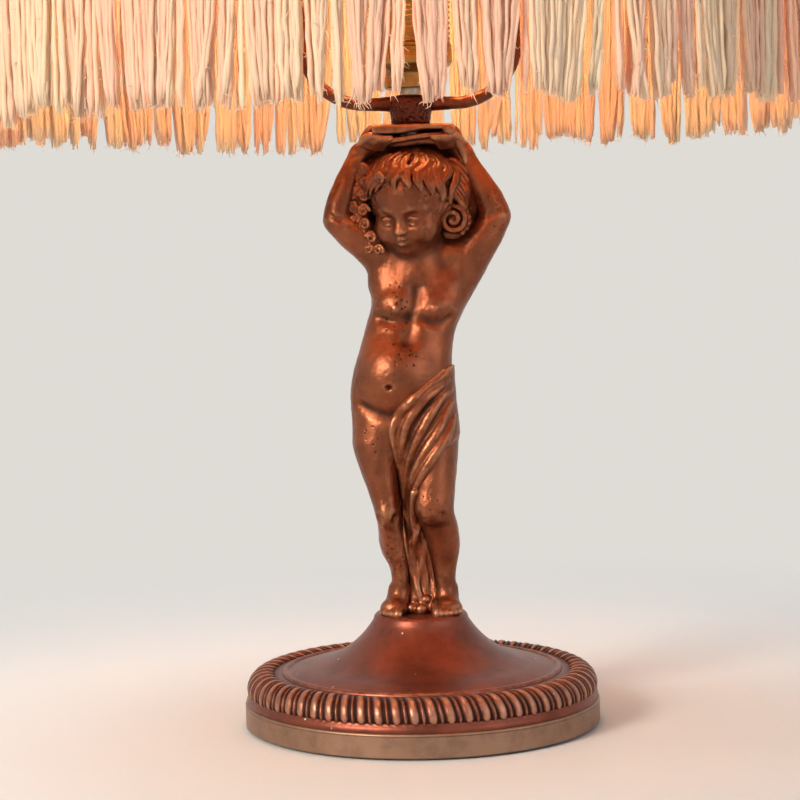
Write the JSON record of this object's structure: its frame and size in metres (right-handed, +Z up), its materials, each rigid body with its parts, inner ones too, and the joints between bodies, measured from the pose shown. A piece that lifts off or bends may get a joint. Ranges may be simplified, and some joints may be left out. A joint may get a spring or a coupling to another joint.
{
  "type": "figural table lamp",
  "caption": "Table lamp: a cast bronze child holds up a harp and lampholder on a gadrooned round base, under a domed silk shade with a long yarn fringe.",
  "frame": {"origin": "centre of the base, on the table", "axes": "+Z up along the lamp pipe; the figure faces -Y; +X is on the right of the picture"},
  "size_m": [0.4388, 0.4388, 0.556],
  "materials": {
    "baize": "felted",
    "brass_band": "dull turned brass, browned",
    "bronze": "red-brown bronze patina, worn on the high places",
    "iron": "as cast",
    "steel": "zinc plated",
    "brass": "aged",
    "harp_bronze": "bronzed",
    "porcelain": "glazed",
    "black_glass": "black glass",
    "bulb_glass": "clear",
    "glow": "tungsten",
    "wire": "painted",
    "silk": "silk, gathered",
    "braid": "woven braid",
    "fringe_yarn": "fuzzy yarn"
  },
  "bodies": {
    "lamp": {"base_casting": "bronze", "foot_ring": "brass_band", "base_weight": "iron", "baize_pad": "baize", "pipe_washer": "steel", "bottom_nut": "steel", "lamp_pipe": "steel", "cord_bush": "brass", "figure_casting": "bronze", "harp_hub": "harp_bronze", "harp_hoop": "harp_bronze", "harp_boss": "harp_bronze", "holder_cap": "brass", "cap_set_screw": "brass", "holder_skirt": "brass", "holder_insert": "porcelain", "screw_shell": "brass", "centre_contact": "brass", "terminal_screws": "brass"},
    "shade": {"shade_spider": "wire", "shade_top_ring": "wire", "shade_bottom_ring": "wire", "shade_ribs": "wire", "shade_cover": "silk", "top_braid": "braid", "bottom_braid": "braid", "fringe": "fringe_yarn"},
    "bulb": {"bulb_contact": "steel", "bulb_insulator": "black_glass", "bulb_cap": "steel", "bulb_glass": "bulb_glass", "bulb_stem": "bulb_glass", "filament": "glow"},
    "finial": {"finial": "brass"}
  },
  "joints": [
    {"name": "shade_swivel", "type": "hinge", "parent": "lamp", "child": "shade", "pos_m": [0, 0, 0.5245], "axis": [0, 0, 1], "continuous": true},
    {"name": "bulb_turn", "type": "hinge", "parent": "lamp", "child": "bulb", "pos_m": [0, 0, 0.3396], "axis": [0, 0, 1], "continuous": true},
    {"name": "finial_turn", "type": "hinge", "parent": "lamp", "child": "finial", "pos_m": [0, 0, 0.5265], "axis": [0, 0, 1], "continuous": true}
  ]
}
